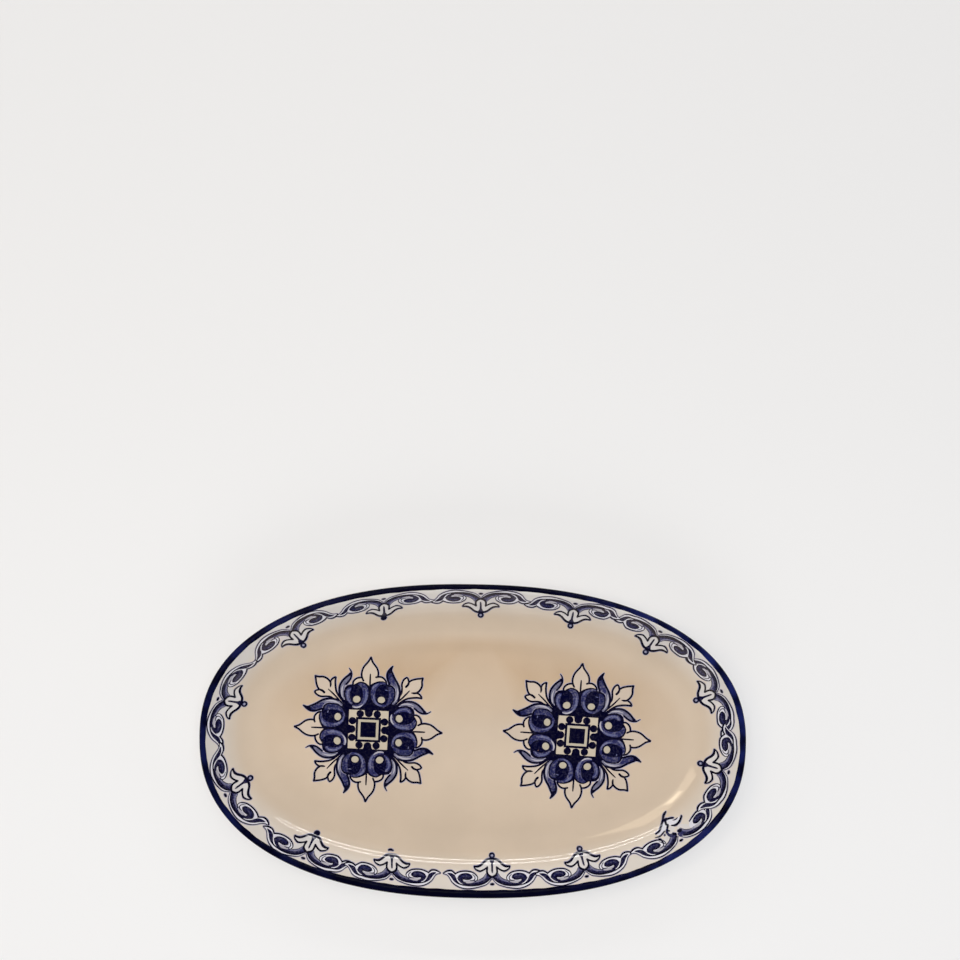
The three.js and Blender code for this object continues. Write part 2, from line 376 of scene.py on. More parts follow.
# One unit of the border. Along the lip and inwards from the dash under its palmette, right half.
BEAD_RISE = 12.9
SCROLL_HALF = [
    blob("veil", [(1.4, 3.6), (2.8, 6.3), (5, 5.9), (7.6, 4.2), (8.6, 3), (8.8, 1.8), (5, 1.8)]),
    blob("pale", [
        (8, 2.8), (8.8, 3.9), (10.6, 4.9), (12.9, 5.4), (15.6, 5.5), (18.3, 5.1), (20.6, 4.3),
        (22.6, 5.5), (24.7, 5.6), (26.5, 5.1), (27.8, 4.3), (25.6, 3.6), (24.2, 2.3), (22.9, 0.8),
        (20.6, -0.6), (17.4, -1.6), (13.8, -2), (9.7, -1.7), (6, -0.9), (2.8, 0.2), (1, 2.3), (4, 2.6),
        (8.3, 1.4),
    ]),
    blob("wash", [
        (0.9, 3.3), (3, 4.9), (4.2, 3.3), (6.8, 1.8), (9.8, 1.1), (13.4, 0.6), (9, -0.2), (5, 0.5),
        (2.4, 1.8),
    ]),
    blob("mid", [(0.9, 3.2), (2.8, 4.4), (3.5, 3), (5.8, 1.5), (9, 0.7), (5, 0.6), (2.4, 1.9)]),
    stroke("grey ink", [(3.4, 4.7), (4.9, 3), (7.2, 1.9), (9.8, 1.3)], 0.4, (0.6, 0.4)),
    stroke("light", [(9.4, 1.6), (11.4, 1.2), (14.4, 1.1)], 0.6, (0.5, 0.5)),
    blob("navy", [
        (0.8, 2.9), (2.6, 2.6), (5.3, 1.5), (8.3, 0.8), (12.9, 0.5), (16, 0.6), (18.3, 1.4), (19.9, 2.9),
        (21.5, 4), (23.3, 4.6), (25.5, 4.5), (23.5, 3), (22, 1.4), (20.1, 0.2), (17.4, -0.6),
        (13.8, -0.95), (9.7, -0.9), (6, -0.3), (3.2, 0.6), (1.1, 2.1),
    ]),
    stroke("ink", [
        (0.8, 2.7), (2.8, 1.2), (5.6, 0.1), (9, -0.5), (13.8, -0.6), (17.4, -0.2), (20.2, 0.8),
    ], 0.85, (0.8, 0.4)),
    blob("grey", [(9.8, 1.2), (12.2, 1.9), (14.4, 1.9), (16.4, 1.6), (15.4, 0.5), (12, 0.4)]),
    stroke("pale", [(11.6, 1.7), (13.6, 1.75), (15.6, 1.5)], 0.5, (0.4, 0.6)),
    blob("navy", [
        (10.9, 3.2), (12, 4.3), (14.2, 4.8), (16.5, 4.6), (18.5, 3.8), (19.4, 2.5), (18.8, 1.1),
        (17.2, 0.1), (15.2, 0.3), (16.3, 0.9), (16.6, 1.7), (15.8, 2.2), (14.2, 1.95), (12.2, 2.1),
    ]),
    stroke("blue", [(12.2, 3.3), (14.2, 3.6), (16.4, 3.4), (17.9, 2.5)], 0.8, (0.5, 0.5)),
    stroke("ink", [
        (11, 2.9), (12.4, 2.1), (14.4, 1.95), (16, 2.2), (16.5, 1.6), (16, 0.9), (14.6, 0.5),
    ], 0.55, (1, 0.6)),
    stroke("pale", [(20.9, 4), (20.2, 2.9), (19.3, 1.5), (17.9, 0.4), (16.4, -0.1)], 0.5, (0.8, 0.3)),
    stroke("ink", [
        (0.2, 2.3), (2.8, 0.1), (6, -0.95), (9.7, -1.7), (13.8, -2.1), (17.4, -1.7), (20.6, -0.6),
        (22.9, 0.9), (24.2, 2.5), (25.6, 3.7), (28, 4.2),
    ], 0.55, (0.6, 0.7)),
    stroke("ink", [(28.1, 4.3), (26.5, 5.1), (24.7, 5.6), (22.6, 5.5), (20.6, 4.2)], 0.78, (0.6, 1)),
]
SCROLL_LOOP = [
    stroke("ink", [
        (20.6, 4.4), (18.3, 5.2), (15.6, 5.6), (12.9, 5.5), (10.6, 5), (8.8, 3.9), (8, 2.8), (8.5, 1.6),
        (9.8, 1),
    ], 0.66, (1, 0.6)),
    stroke("grey ink", [(10.9, 4.3), (9.7, 3.3), (9.5, 2.3), (10.3, 1.6), (12.4, 1.5)], 0.55, (0.5, 0.5)),
]
PALMETTE_HALF = [
    blob("petal", [
        (2.6, 8.3), (2.6, 10.4), (4, 9.9), (5.2, 9), (7.2, 7.9), (10, 7.7), (9, 6.4), (6.9, 5.7),
        (4.6, 6.3), (2.8, 7.3),
    ]),
    blob("petal", [(-0.1, 3.1), (1.7, 3.9), (2.7, 5.2), (2.7, 8.2), (2.4, 10.6), (-0.1, 10.8)]),
    stroke("ink", [
        (3.3, 10.6), (4.3, 9.9), (5.3, 9), (6.7, 8.1), (8.3, 7.7), (10.1, 7.8),
    ], 1.15, (1, 0.7)),
    stroke("ink", [(10.1, 7.7), (9.1, 6.5), (6.8, 5.7), (4.6, 6.3), (2.7, 7.4)], 0.85, (0.8, 1)),
    stroke("ink", [(2.6, 7.6), (2.8, 5.2), (1.8, 3.8), (0, 3)], 1.1),
    stroke("ink", [(-0.1, 11.25), (2, 11.1), (3.5, 10.5)], 1.2),
]
PALMETTE_MIDDLE = [
    blob("navy", [
        (-1.4, 10.7), (1.4, 10.7), (0.75, 9.4), (0.6, 7.5), (0.55, 5.3), (0.1, 4.8), (-0.35, 5.5),
        (-0.5, 7.5), (-0.7, 9.4),
    ]),
    disc("ink", (0, 0), (1.2, 0.55)),
]
RING_BEAD = [
    disc("ink", (0, BEAD_RISE), (1.7, 1.6)),
    disc("light", (0.05, BEAD_RISE), (0.85, 0.75)),
    disc("grey", (0.05, BEAD_RISE), (0.4, 0.35)),
]
FULL_BEAD = [disc("ink", (0.4, BEAD_RISE - 0.3), (1.75, 1.6))]
HALF_BEAD = [
    stroke("ink", [
        (-2.1, BEAD_RISE + 0.4), (-0.7, BEAD_RISE + 0.9), (0.8, BEAD_RISE + 0.5),
    ], 1.2, (0.7, 0.7)),
]
# The palmette that the painter smudged, in the same places
SMUDGED = [
    blob("pale", [
        (-9.8, 7.4), (-7.6, 7.7), (-5.2, 9), (-2.8, 10.6), (-2.2, 9), (-3.2, 7.7), (-5.4, 7.2), (-8, 6.6),
    ]),
    blob("pale", [
        (-1.4, 10.4), (0.6, 10.6), (3, 9.6), (5.6, 9), (7, 8.6), (4.6, 7.5), (1.6, 7.6), (-1.2, 8.4),
    ]),
    blob("veil", [(-3.2, 6.6), (-1.6, 8), (0.6, 7.2), (0.4, 5.6), (-1.4, 5)]),
    stroke("ink", [
        (-10.3, 7.9), (-7.7, 8.3), (-5.5, 9.6), (-3.4, 11.2), (-2.3, 12.2), (-1.1, 13.4),
    ], 1.05, (0.6, 1)),
    stroke("ink", [(-2.2, 12.2), (-0.6, 13.7), (1.7, 14.7)], 1.25, (0.8, 0.7)),
    stroke("ink", [(-2.7, 11.7), (-0.2, 11.4)], 1.3),
    stroke("ink", [(-0.3, 11.3), (1.6, 10.8), (3.4, 10.1)], 1, (1, 0.6)),
    stroke("ink", [(-1.5, 11.2), (-2.3, 9.3), (-1.6, 8.9), (-3.4, 7.2)], 1.2, (1, 0.8)),
    stroke("blue", [(-3.2, 7.3), (-4.3, 6.2), (-3.9, 4.4), (-2, 3.9)], 1.5, (0.8, 0.8)),
    stroke("ink", [(-3.8, 6.9), (-2.5, 6.1)], 0.9, (0.7, 0.7)),
    stroke("ink", [
        (-0.1, 7.8), (1.4, 7.1), (3.2, 6.9), (5.2, 7.4), (6.6, 8.1), (7.7, 8.7),
    ], 1.1, (0.6, 0.9)),
    stroke("grey ink", [(2, 9.4), (3.6, 9), (5.2, 9.1)], 0.6, (0.4, 0.6)),
    stroke("grey ink", [(-11.6, 6.5), (-8.4, 6.2), (-5, 7.2)], 0.8, (0.5, 0.8)),
    stroke("ink", [(-10.2, 5.3), (-9.2, 4.8), (-9.3, 3.6), (-8.8, 2.2)], 0.8, (0.8, 0.6)),
    disc("ink", (-6.1, 5.6), (0.6, 0.45)),
    stroke("ink", [(-2, 4.4), (-0.5, 3.4)], 1.3),
    stroke("ink", [(9.4, 4.5), (12.4, 5.2), (15.6, 5.6), (18.3, 5.2), (20.6, 4.4)], 0.75, (0.6, 1)),
    blob("mid", [(0.2, 3.2), (2, 3.6), (3.2, 2.8), (2.6, 1.5), (0.7, 1.4)]),
    disc("ink", (2.2, 3.9), (1.45, 0.8), -10),
    disc("ink", (0, 0), (1.2, 0.5)),
]
# Each unit: way round the lip and inset of its dash, the same for its bead, and the rise of its right scroll
BORDER = [
    (35.3, 7.2, 33.5, 22.0, -1.0),
    (87.7, 5.8, 87.1, 21.4, 0.0),
    (138.4, 5.9, 137.7, 20.7, 1.0),
    (191.3, 5.2, 191.1, 19.4, 0.3),
    (245.3, 5.9, 247.3, 18.6, 0.6),
    (302.3, 6.4, 301.1, 21.1, 1.7),
    (364.8, 6.9, 366.4, 21.1, -1.3),
    (425.9, 6.4, 426.6, 20.4, 0.4),
    (486.4, 6.0, 488.2, 18.8, 0.7),
    (538.5, 7.0, 536.4, 19.3, 0.6),
    (595.5, 7.3, 595.4, 20.2, 0.0),
    (649.5, 6.9, 648.4, 19.6, 0.3),
    (708.7, 6.6, 708.2, 19.6, -0.6),
    (761.1, 7.5, 759.2, 21.9, -0.3),
]
SMUDGED_UNIT = 12
# Units whose bead isn't the usual ring
BEADS = {4: FULL_BEAD, 8: FULL_BEAD, 9: HALF_BEAD}
SCROLL_MIDDLES_APART = 28
# Where a scroll's tip begins and ends. The tips of close units cross, by this much and this much lower down,
# and the tips of wide units keep clear of each other.
TIP_START = 17.0
TIP_REACH = 28.1
TIP_OVERLAP = 1.0
TIP_DROP = 1.7
WIDE_GAP = 56.5
TIP_CLEARANCE = 1.2
# How much shorter than its reach a tip has to be to drop all the way, and the length over which it drops
TIP_SHORT = 1.5
TIP_BEND = 6
SETTLING_ROUNDS = 24


def on_border(shape, unit):
    """Carries a shape of the border's unit to its place on the plan."""
    dash_way, dash_inset, bead_way, bead_inset, rise = unit
    up = shape[:, 1] / BEAD_RISE
    inset = dash_inset + (bead_inset - dash_inset) * up + shape[:, 0] * rise / SCROLL_MIDDLES_APART
    axis = dash_way + (bead_way - dash_way) * up
    way = axis + shape[:, 0]
    for _ in range(SETTLING_ROUNDS):
        way = axis + shape[:, 0] + inset * (turn_at(way) - turn_at(axis))
    point, normal = round_lip(way)
    return point - normal * inset[:, None]


def to_neighbour(shape, gap):
    """Draws in the tip of a scroll where the next unit stands closer."""
    wide = gap > WIDE_GAP
    room = gap / 2 + (-TIP_CLEARANCE if wide else TIP_OVERLAP)
    squeeze = min(1.0, (room - TIP_START) / (TIP_REACH - TIP_START))
    drop = 0 if wide else TIP_DROP * min(1.0, max(0.0, TIP_REACH - room) / TIP_SHORT)
    past = np.maximum(0, shape[:, 0] - TIP_START)
    lower = drop * np.minimum(1, past / TIP_BEND)
    return shape - np.stack([past * (1 - squeeze), lower], -1)


def border():
    """The shapes of every unit of the border, on the plan."""
    mirror = np.array([-1, 1])
    for index, unit in enumerate(BORDER):
        smudged = index == SMUDGED_UNIT
        gap_left = (unit[0] - BORDER[index - 1][0]) % GIRTH
        gap_right = (BORDER[(index + 1) % len(BORDER)][0] - unit[0]) % GIRTH
        for paint, shape in SCROLL_HALF + SCROLL_LOOP:
            yield paint, on_border(to_neighbour(shape, gap_left) * mirror, unit)
        for paint, shape in SCROLL_HALF if smudged else SCROLL_HALF + SCROLL_LOOP:
            yield paint, on_border(to_neighbour(shape, gap_right), unit)
        for paint, shape in [] if smudged else PALMETTE_HALF:
            yield paint, on_border(shape, unit)
            yield paint, on_border(shape * mirror, unit)
        for paint, shape in SMUDGED if smudged else PALMETTE_MIDDLE + BEADS.get(index, RING_BEAD):
            yield paint, on_border(shape, unit)


# Cobalt bleeds into the cream a little way round every inked shape
HALO_WIDTH = 0.3
LONG_CURVE = 36


def bled(shape):
    """A closed shape grown outwards. A long curve keeps every second point."""
    if len(shape) > LONG_CURVE:
        shape = shape[::2]
    along = np.roll(shape, -1, axis=0) - np.roll(shape, 1, axis=0)
    across = np.stack([along[:, 1], -along[:, 0]], -1)
    across /= np.maximum(np.linalg.norm(across, axis=1), 1e-9)[:, None]
    before, after = np.roll(shape, 1, axis=0), shape
    area = (before[:, 0] * after[:, 1] - before[:, 1] * after[:, 0]).sum()
    return shape + across * math.copysign(HALO_WIDTH, area)


def painting():
    """All painted shapes on the plan, in the order of painting."""
    shapes = list(border())
    for middle, turn in ROSETTES:
        shapes.extend(rosette(middle, turn))
    halos = [("halo", bled(shape)) for paint, shape in shapes if paint == "ink"]
    return halos + shapes


# Insets of the cobalt band's inner edge, evenly spaced round the lip from its right-hand end: brushed by
# hand, and wider along the near side. It wobbles by these depths, this many times round.
BAND_INSETS = [3.5, 3.6, 2.9, 2.5, 2.6, 2.5, 2.5, 2.75, 2.9, 3.0, 3.4, 3.9,
               3.6, 3.9, 3.9, 4.2, 4.6, 4.9, 4.7, 4.7, 4.4, 4.0, 4.0, 4.0]
BAND_WOBBLES = ((0.08, 47), (0.05, 83))
band_curve = curve([(spot, inset) for spot, inset in enumerate(BAND_INSETS + BAND_INSETS[:1])])


def band_inset(way):
    spot = np.mod(way, GIRTH) / GIRTH * len(BAND_INSETS)
    angle = 2 * math.pi * way / GIRTH
    inset = np.interp(spot, band_curve[:, 0], band_curve[:, 1])
    for depth, waves in BAND_WOBBLES:
        inset = inset + depth * np.sin(waves * angle)
    return inset


# Plan of the painted face, cut into triangles along every painted shape. Rings of extra points carry the
# relief of the wall and the cove.
BAND_STATIONS = 720
RELIEF_START = 5.5
RELIEF_STEP = 2.4
WELD = 0.002
SPOTS_AT_ONCE = 2000


def inside(shape, spots):
    """Which spots lie inside a closed shape, by how often it winds round them."""
    first, second = shape, np.roll(shape, -1, axis=0)
    step = second - first
    found = np.zeros(len(spots), bool)
    for start in range(0, len(spots), SPOTS_AT_ONCE):
        block = slice(start, start + SPOTS_AT_ONCE)
        x, y = spots[block, :1], spots[block, 1:]
        side = step[:, 0] * (y - first[:, 1]) - (x - first[:, 0]) * step[:, 1]
        rising = (first[:, 1] <= y) & (second[:, 1] > y) & (side > 0)
        falling = (second[:, 1] <= y) & (first[:, 1] > y) & (side < 0)
        found[block] = rising.sum(1) != falling.sum(1)
    return found


edge_tree = kdtree.KDTree(EDGE_SAMPLES)
for number, place in enumerate(edge_points[:-1]):
    edge_tree.insert((*place, 0), number)
edge_tree.balance()


def nearest_lip(points):
    """Inset of points on the plan, and the way round the lip and outward normal nearest to them."""
    found = np.array([edge_tree.find((*point, 0))[1] for point in points])
    normal = edge_normals[found]
    inset = ((edge_points[found] - points) * normal).sum(1)
    return inset, edge_way[found], normal


def face_plan(shapes):
    """Points and triangles of the plan, and the number of the shape painted last on each, or -1."""
    way = np.linspace(0, GIRTH, BAND_STATIONS, endpoint=False)
    point, normal = round_lip(way)
    band_edge = point - normal * band_inset(way)[:, None]
    loops = [band_edge, *shapes]
    edges, first = [], 0
    for loop in loops:
        edges.extend((first + i, first + (i + 1) % len(loop)) for i in range(len(loop)))
        first += len(loop)
    ring_way = np.linspace(0, GIRTH, round(GIRTH / RELIEF_STEP), endpoint=False)
    for inset in np.arange(RELIEF_START, floor_inset + RELIEF_STEP, RELIEF_STEP):
        point, normal = round_lip(ring_way + inset)
        loops.append(point - normal * inset)
    corners = [Vector(corner) for corner in np.concatenate(loops).tolist()]
    points, _, triangles, *_ = geometry.delaunay_2d_cdt(corners, edges, [], 0, WELD, False)
    points, triangles = np.array(points), np.array(triangles)
    middles = points[triangles].mean(1)
    inset, way, _ = nearest_lip(middles)
    kept = (inset > band_inset(way)) & inside(band_edge, middles)
    triangles, middles = triangles[kept], middles[kept]
    painted = np.full(len(triangles), -1)
    for number, shape in enumerate(shapes):
        near = np.flatnonzero(((middles >= shape.min(0)) & (middles <= shape.max(0))).all(1))
        painted[near[inside(shape, middles[near])]] = number
    used, triangles = np.unique(triangles, return_inverse=True)
    return points[used], triangles.reshape(-1, 3), painted


def open_edge(triangles):
    """Corners round the open edge of a sheet of triangles, in order."""
    sides = {(a, b) for t in triangles.tolist() for a, b in zip(t, t[1:] + t[:1])}
    follows = {a: b for a, b in sides if (b, a) not in sides}
    start = next(iter(follows))
    loop = [start]
    while follows[loop[-1]] != start:
        loop.append(follows[loop[-1]])
    return loop


# Materials, and the scales of their unevenness, in features per metre
CLOUDS = 28.0
BRUSH_HAIRS = 950.0
DRY_PATCHES = 70.0
SPECK_CELLS = 62.0
SPECK_PATCHES = 45.0
RIPPLES = 55.0
FINE_RIPPLES = 420.0
GLOSS_PATCHES = 90.0
CLAY_GRAIN = 700.0


def linear(red, green, blue):
    shares = [value / 255 for value in (red, green, blue)]
    return tuple(s / 12.92 if s <= 0.04045 else ((s + 0.055) / 1.055) ** 2.4 for s in shares)


class Nodes:
    """Shorthand for building a material's nodes."""

    def __init__(self, tree):
        self.tree = tree

    def add(self, kind, *links, **settings):
        made = self.tree.nodes.new(kind)
        for name, value in settings.items():
            setattr(made, name, value)
        for socket, value in links:
            if isinstance(value, bpy.types.NodeSocket):
                self.tree.links.new(value, made.inputs[socket])
            else:
                made.inputs[socket].default_value = value
        return made

    def noise(self, where, scale, detail=2.0):
        links = ("Vector", where), ("Scale", scale), ("Detail", detail)
        return self.add("ShaderNodeTexNoise", *links).outputs["Fac"]

    def ramp(self, value, low, high, bottom=0.0, top=1.0):
        links = (0, value), (1, low), (2, high), (3, bottom), (4, top)
        return self.add("ShaderNodeMapRange", *links, interpolation_type="SMOOTHSTEP").outputs[0]

    def math(self, operation, first, second):
        return self.add("ShaderNodeMath", (0, first), (1, second), operation=operation).outputs[0]

    def mix(self, share, first, second, blend="MIX"):
        links = (0, share), (6, first), (7, second)
        return self.add("ShaderNodeMix", *links, data_type="RGBA", blend_type=blend).outputs[2]

    def link(self, value, node, socket):
        self.tree.links.new(value, node.inputs[socket])


def new_material(name):
    made = bpy.data.materials.new(name)
    made.use_nodes = True
    nodes = Nodes(made.node_tree)
    where = nodes.add("ShaderNodeTexCoord").outputs["Object"]
    return made, nodes, made.node_tree.nodes["Principled BSDF"], where


CREAM = (*linear(*PAINTS["cream"][:3]), 1)
SPECK = (*linear(112, 78, 48), 1)
WASH = (*linear(176, 172, 186), 1)
COBALT = (*linear(3, 3, 21), 1)
# Pale blue of thinly brushed cobalt, also used for the painted sheen at the band's right-hand end
THIN_COBALT_AND_SHEEN = (*linear(26, 34, 92), 1)
DARK_CLAY = (*linear(176, 128, 90), 1)
PALE_CLAY = (*linear(196, 152, 112), 1)


def plain_cream(nodes, where):
    return CREAM


def brushed_paint(nodes, where):
    """The colours painted on the face, with the brush's hairs showing in the thin ones."""
    paint = nodes.add("ShaderNodeAttribute", attribute_name="paint")
    hairs = nodes.ramp(nodes.noise(where, BRUSH_HAIRS, 3.0), 0.42, 0.75)
    share = nodes.math("MULTIPLY", hairs, nodes.math("MULTIPLY", paint.outputs["Alpha"], 0.5))
    return nodes.mix(share, paint.outputs["Color"], WASH)


def brushed_cobalt_and_sheen(nodes, where):
    """The band, thinner in patches where the brush ran dry, towards both ends, and most of all towards the
    right-hand one, where the extra paleness is a painted sheen.
    """
    along = nodes.add("ShaderNodeSeparateXYZ", (0, where)).outputs["X"]
    from_middle = nodes.add("ShaderNodeMath", (0, along), operation="ABSOLUTE").outputs[0]
    both_ends = nodes.ramp(from_middle, 0.04, 0.13, 0.05, 0.5)
    # Painted sheen: the band paler towards its right-hand end
    right_end_sheen = nodes.ramp(along, 0.03, 0.11, 0.0, 0.5)
    dry = nodes.ramp(nodes.noise(where, DRY_PATCHES, 3.0), 0.35, 0.7)
    share = nodes.math("MULTIPLY", dry, nodes.math("ADD", both_ends, right_end_sheen))
    return nodes.mix(share, COBALT, THIN_COBALT_AND_SHEEN)


def glaze(name, colour, roughness=0.05, shine=0.5):
    """A glossy glaze in the given colour, with faint clouds, a few specks and a slightly uneven surface."""
    made, nodes, shader, where = new_material(name)
    clouds = nodes.ramp(nodes.noise(where, CLOUDS, 4.0), 0.3, 0.7, 0.965, 1.03)
    cloudy = nodes.add("ShaderNodeCombineColor", (0, clouds), (1, clouds), (2, clouds)).outputs[0]
    shaded = nodes.mix(1.0, colour(nodes, where), cloudy, "MULTIPLY")
    cells = nodes.add("ShaderNodeTexVoronoi", ("Vector", where), ("Scale", SPECK_CELLS))
    speck = nodes.ramp(cells.outputs["Distance"], 0.018, 0.03, 1.0, 0.0)
    rare = nodes.ramp(nodes.noise(where, SPECK_PATCHES), 0.56, 0.6)
    speck_share = nodes.math("MULTIPLY", nodes.math("MULTIPLY", speck, rare), 0.7)
    nodes.link(nodes.mix(speck_share, shaded, SPECK), shader, "Base Color")
    fine_ripples = nodes.math("MULTIPLY", nodes.noise(where, FINE_RIPPLES), 0.12)
    uneven = nodes.math("ADD", nodes.noise(where, RIPPLES), fine_ripples)
    bump = nodes.add("ShaderNodeBump", ("Height", uneven), ("Distance", 0.0005), ("Strength", 0.045))
    nodes.link(bump.outputs[0], shader, "Normal")
    gloss = nodes.ramp(nodes.noise(where, GLOSS_PATCHES), 0.3, 0.7, roughness * 0.85, roughness * 1.2)
    nodes.link(gloss, shader, "Roughness")
    shader.inputs["IOR"].default_value = 1.5
    shader.inputs["Specular IOR Level"].default_value = shine
    return made


def biscuit():
    """Bare fired clay."""
    made, nodes, shader, where = new_material("bare_clay")
    grain = nodes.ramp(nodes.noise(where, CLAY_GRAIN, 6.0), 0.35, 0.7)
    nodes.link(nodes.mix(grain, DARK_CLAY, PALE_CLAY), shader, "Base Color")
    bump = nodes.add("ShaderNodeBump", ("Height", grain), ("Distance", 0.0002), ("Strength", 0.5))
    nodes.link(bump.outputs[0], shader, "Normal")
    shader.inputs["Roughness"].default_value = 0.85
    return made


# Pieces
CREASE = math.radians(35)


def new_piece(name, mesh, node):
    made = bpy.data.objects.new(name, mesh)
    bpy.context.scene.collection.objects.link(made)
    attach(made, "root")
    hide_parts(node)


def mesh_of(name, points, faces, look):
    mesh = bpy.data.meshes.new(name)
    mesh.from_pydata((np.asarray(points) * MM).tolist(), [], faces)
    mesh.materials.append(look)
    mesh.polygons.foreach_set("use_smooth", [True] * len(mesh.polygons))
    return mesh


def on_clay(inset):
    """Inset and height of the clay under a point of the finished face."""
    height, slope = face_height(inset)
    tilt = np.arctan(slope)
    return inset - GLAZE * np.sin(tilt), height - GLAZE * np.cos(tilt)


# The bare glaze is paler up the wall, a painted sheen, and greyer beside the lip, most of all on the far
# side, towards +Y. On the floor along that side it is darker and warmer, most of all in the middle: a painted
# shadow of the far wall.
# Insets over which the painted sheen up the wall fades out
WALL_SHEEN_INSETS = [12.5, 21.0]
RIM_INSETS = [9.0, 12.5]
RIM_SHARE = 0.7
RIM_FAR_SHARE = 0.3
# Painted shadow of the far wall on the floor: its insets, depths, shares, reach and tone
FAR_SHADE_INSETS = [30, 42, 52, 80]
FAR_SHADE_DEPTHS = [0, 1, 1, 0]
FAR_SHADE_SHARE = 0.53
FAR_SHADE_FAR_SHARE = 0.47
FAR_SHADE_END_DEPTH = 0.85
FAR_SHADE_MIDDLE_DEPTH = 0.7
FAR_SHADE_REACH = 48.0
FAR_SHADE_TONE = np.array([0.87, 0.8, 0.72, 1.0])


def paint_tone(name):
    red, green, blue, brush = PAINTS[name]
    return np.array([*linear(red, green, blue), brush])


def bare_glaze(plan, inset, outward):
    """Colours of the face where nothing is painted on: cream, with a painted sheen up the wall and a painted
    shadow on the floor's far side.
    """
    cream, sheen_cream, rim_cream = map(paint_tone, ("cream", "sheen cream", "rim cream"))
    far = outward[:, 1]
    # Painted sheen: the bare glaze paler up the wall
    thin = np.interp(inset, WALL_SHEEN_INSETS, [1, 0])
    rim = np.interp(inset, RIM_INSETS, [1, 0]) * (RIM_SHARE + RIM_FAR_SHARE * far)
    # Painted shadow: darker and warmer along the far side of the floor, most of all in the middle
    painted_shade = np.interp(inset, FAR_SHADE_INSETS, FAR_SHADE_DEPTHS) * (FAR_SHADE_SHARE + FAR_SHADE_FAR_SHARE * far)
    painted_shade *= FAR_SHADE_END_DEPTH + FAR_SHADE_MIDDLE_DEPTH * np.exp(-(plan[:, 0] / FAR_SHADE_REACH) ** 2)
    tones = cream + np.outer(thin, sheen_cream - cream) + np.outer(rim, rim_cream - sheen_cream)
    return tones * (1 + np.outer(painted_shade, FAR_SHADE_TONE - 1))


UNDERSIDE_STEPS = 10


def face_solid(plan, top, inset, way, height):
    """Points and faces of the face's glaze: its top, then the side on the clay, round the same edge."""
    rim = open_edge(top)
    rim_edge, rim_normal = round_lip(way[rim])
    rim_inset = inset[rim]
    points = [np.column_stack([plan, height])]
    faces = top.tolist()
    last_ring, made, count = rim, len(plan), len(rim)
    cove_insets = np.linspace(cove_outer, floor_inset, UNDERSIDE_STEPS)
    for ring_inset in (rim_inset, (rim_inset + cove_outer) / 2, *cove_insets):
        clay_inset, clay_height = on_clay(np.broadcast_to(ring_inset, count))
        points.append(np.column_stack([rim_edge - rim_normal * clay_inset[:, None], clay_height]))
        ring = np.arange(made, made + count)
        quads = np.column_stack([np.roll(last_ring, -1), np.roll(ring, -1), ring, last_ring])
        faces.extend(quads.tolist())
        last_ring, made = ring, made + count
    points.append([[0, 0, WELL_FLOOR - GLAZE]])
    faces.extend([int(b), int(a), made] for a, b in zip(last_ring, np.roll(last_ring, -1)))
    return np.concatenate(points), faces


# The bake's map: the painted side fills it, and the hidden side is a strip along its lower edge
MAP_MARGIN = 4
PAINTED_MAP = (1, 0.95), (0.5, 0.525)
HIDDEN_MAP = (1, 0.03), (0.5, 0.02)


def map_face(mesh, spots, top_corners):
    flat_map = spots / (LENGTH + MAP_MARGIN, WIDTH + MAP_MARGIN)
    places = flat_map * HIDDEN_MAP[0] + HIDDEN_MAP[1]
    places[:top_corners] = flat_map[:top_corners] * PAINTED_MAP[0] + PAINTED_MAP[1]
    mesh.uv_layers.new(name="OFBake").data.foreach_set("uv", places.ravel())


def smooth_face(mesh, top_normals):
    """Gives the top the true shape's normals, and every other face its own."""
    facing = np.empty(3 * len(mesh.polygons))
    mesh.polygons.foreach_get("normal", facing)
    sizes = np.empty(len(mesh.polygons), int)
    mesh.polygons.foreach_get("loop_total", sizes)
    normals = np.repeat(facing.reshape(-1, 3), sizes, axis=0)
    normals[:len(top_normals)] = top_normals
    mesh.set_sharp_from_angle(angle=CREASE)
    mesh.normals_split_custom_set(normals.tolist())


def painted_face():
    shapes = painting()
    plan, top, painted = face_plan([shape for _, shape in shapes])
    inset, way, outward = nearest_lip(plan)
    height, slope = face_height(inset)
    points, faces = face_solid(plan, top, inset, way, height)
    mesh = mesh_of("painted_face", points, faces, glaze("painted_glaze", brushed_paint))

    # The corners of the top come first
    corners = np.empty(len(mesh.loops), int)
    mesh.loops.foreach_get("vertex_index", corners)
    top_corners = corners[:top.size]
    colours = np.tile(paint_tone("cream"), (len(corners), 1))
    colours[:top.size] = bare_glaze(plan, inset, outward)[top_corners]
    shape_tones = np.array([paint_tone(paint) for paint, _ in shapes])
    covered = np.flatnonzero(np.repeat(painted >= 0, 3))
    colours[covered] = shape_tones[np.repeat(painted, 3)[covered]]
    mesh.attributes.new("paint", "FLOAT_COLOR", "CORNER").data.foreach_set("color", colours.ravel())
    map_face(mesh, points[corners][:, :2], top.size)
    tilt = np.arctan(slope)
    normals = np.column_stack([-outward * np.sin(tilt)[:, None], np.cos(tilt)])
    smooth_face(mesh, normals[top_corners])
    new_piece("painted_face", mesh, "face_glaze")


LOFT_STATIONS = 480
loft_way = np.linspace(0, GIRTH, LOFT_STATIONS, endpoint=False)
loft_edge, loft_normal = round_lip(loft_way)


